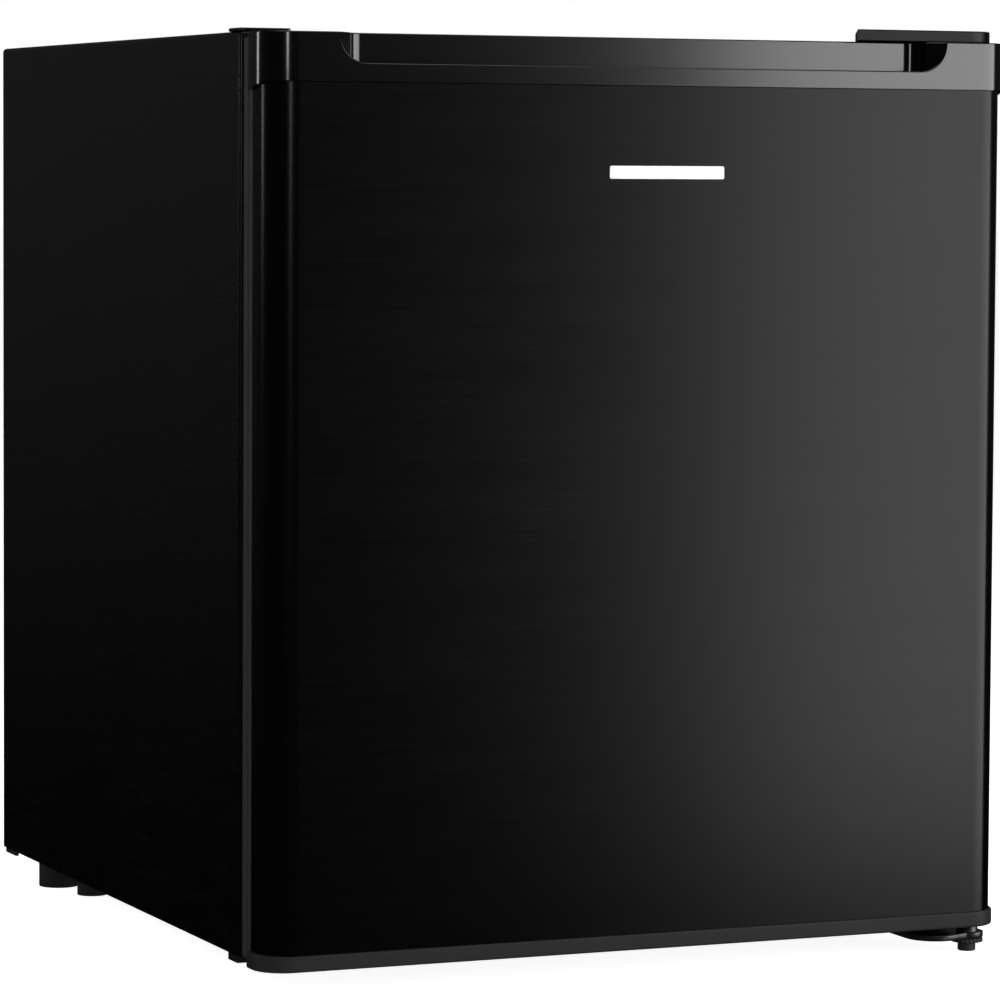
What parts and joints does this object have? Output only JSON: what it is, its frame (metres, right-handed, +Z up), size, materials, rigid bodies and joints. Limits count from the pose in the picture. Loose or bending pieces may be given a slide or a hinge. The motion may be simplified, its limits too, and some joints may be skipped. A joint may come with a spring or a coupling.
{
  "type": "compact refrigerator",
  "caption": "Compact black refrigerator with one hinged door, a finger scoop in the door's top cap, an ice compartment, a sliding shelf and door racks.",
  "frame": {"origin": "on the floor, under the middle of the refrigerator's overall box", "axes": "+Z up, the door faces -Y, +X is the hinge side (right, seen from the front)"},
  "size_m": [0.436, 0.4706, 0.5092],
  "materials": {
    "black_paint": "satin black baked enamel with a fine brushed grain",
    "black_abs": "moulded ABS, fine grain",
    "dark_abs": "moulded ABS, dark grey",
    "seal_rubber": "extruded soft PVC",
    "white_hips": "vacuum-formed polystyrene",
    "clear_ps": "clear moulded polystyrene, slightly blue",
    "foam": "rigid polyurethane foam",
    "zinc": "zinc-plated pressed steel",
    "black_steel": "black dipped steel",
    "grey_steel": "dark grey coated sheet",
    "aluminium": "roll-bonded sheet, satin",
    "copper": "drawn copper tube",
    "silver_badge": "satin anodised strip",
    "white_wire": "white powder-coated steel wire",
    "black_rubber": "moulded rubber",
    "acetal": "natural acetal bush"
  },
  "bodies": {
    "cabinet": {"side_sheet_left": "black_paint", "side_sheet_right": "black_paint", "top_sheet": "black_paint", "back_sheet": "grey_steel", "base_sheet": "grey_steel", "bay_lining": "grey_steel", "cabinet_foam": "foam", "inner_liner": "white_hips", "base_rail": "black_steel", "compressor_tray": "black_steel", "rear_foot_left": "black_abs", "rear_foot_right": "black_abs", "wall_spacers": "black_abs", "hinge_blank_left": "black_abs", "upper_hinge": "zinc", "upper_hinge_screws": "zinc", "hinge_cover": "black_abs", "lower_hinge": "black_steel", "lower_hinge_screws": "zinc", "evaporator": "aluminium", "evaporator_hangers": "white_hips", "ice_frame": "white_hips", "tray_rails": "white_hips", "thermostat_housing": "white_hips", "thermostat_switch": "zinc", "compressor": "black_steel", "compressor_grommets": "black_rubber", "terminal_cover": "black_abs", "drain_tube": "white_hips", "drain_water_pan": "black_abs", "condenser_tube": "black_steel", "condenser_wires": "black_steel", "filter_drier": "copper", "suction_tube": "copper", "cord_gland": "black_abs"},
    "door": {"door_panel": "black_paint", "door_top_cap": "black_abs", "door_bottom_cap": "dark_abs", "door_foam": "foam", "door_liner": "white_hips", "door_seal": "seal_rubber", "door_badge": "silver_badge", "hinge_bushes": "acetal", "cap_plug": "black_abs"},
    "rack_lower": {"rack_lower": "clear_ps"},
    "rack_upper": {"rack_upper": "clear_ps"},
    "ice_flap": {"ice_flap": "clear_ps"},
    "drip_tray": {"drip_tray": "clear_ps"},
    "shelf": {"wire_shelf": "white_wire"},
    "thermostat": {"thermostat_knob": "white_hips", "thermostat_shaft": "zinc"},
    "foot_left": {"front_foot_left": "black_abs"},
    "foot_right": {"front_foot_right": "black_abs"}
  },
  "joints": [
    {"name": "door_hinge", "type": "hinge", "parent": "cabinet", "child": "door", "pos_m": [0.206, -0.2152, 0.016], "axis": [0, 0, 1], "range_deg": [0, 120]},
    {"name": "ice_flap_hinge", "type": "hinge", "parent": "cabinet", "child": "ice_flap", "pos_m": [-0.058, -0.0762, 0.455], "axis": [-1, 0, 0], "range_deg": [0, 88]},
    {"name": "drip_tray_slide", "type": "slide", "parent": "cabinet", "child": "drip_tray", "axis": [0, -1, 0], "range_m": [0, 0.1]},
    {"name": "shelf_slide", "type": "slide", "parent": "cabinet", "child": "shelf", "axis": [0, -1, 0], "range_m": [0, 0.048]},
    {"name": "rack_lower_lift", "type": "slide", "parent": "door", "child": "rack_lower", "axis": [0, 0, 1], "range_m": [0, 0.03]},
    {"name": "rack_upper_lift", "type": "slide", "parent": "door", "child": "rack_upper", "axis": [0, 0, 1], "range_m": [0, 0.03]},
    {"name": "thermostat_turn", "type": "hinge", "parent": "cabinet", "child": "thermostat", "pos_m": [0.124, -0.0667, 0.42], "axis": [0, -1, 0], "range_deg": [-270, 0]},
    {"name": "foot_left_turn", "type": "hinge", "parent": "cabinet", "child": "foot_left", "pos_m": [-0.168, -0.1407, 0], "axis": [0, 0, 1], "continuous": true},
    {"name": "foot_right_turn", "type": "hinge", "parent": "cabinet", "child": "foot_right", "pos_m": [0.206, -0.2152, 0], "axis": [0, 0, 1], "continuous": true}
  ]
}
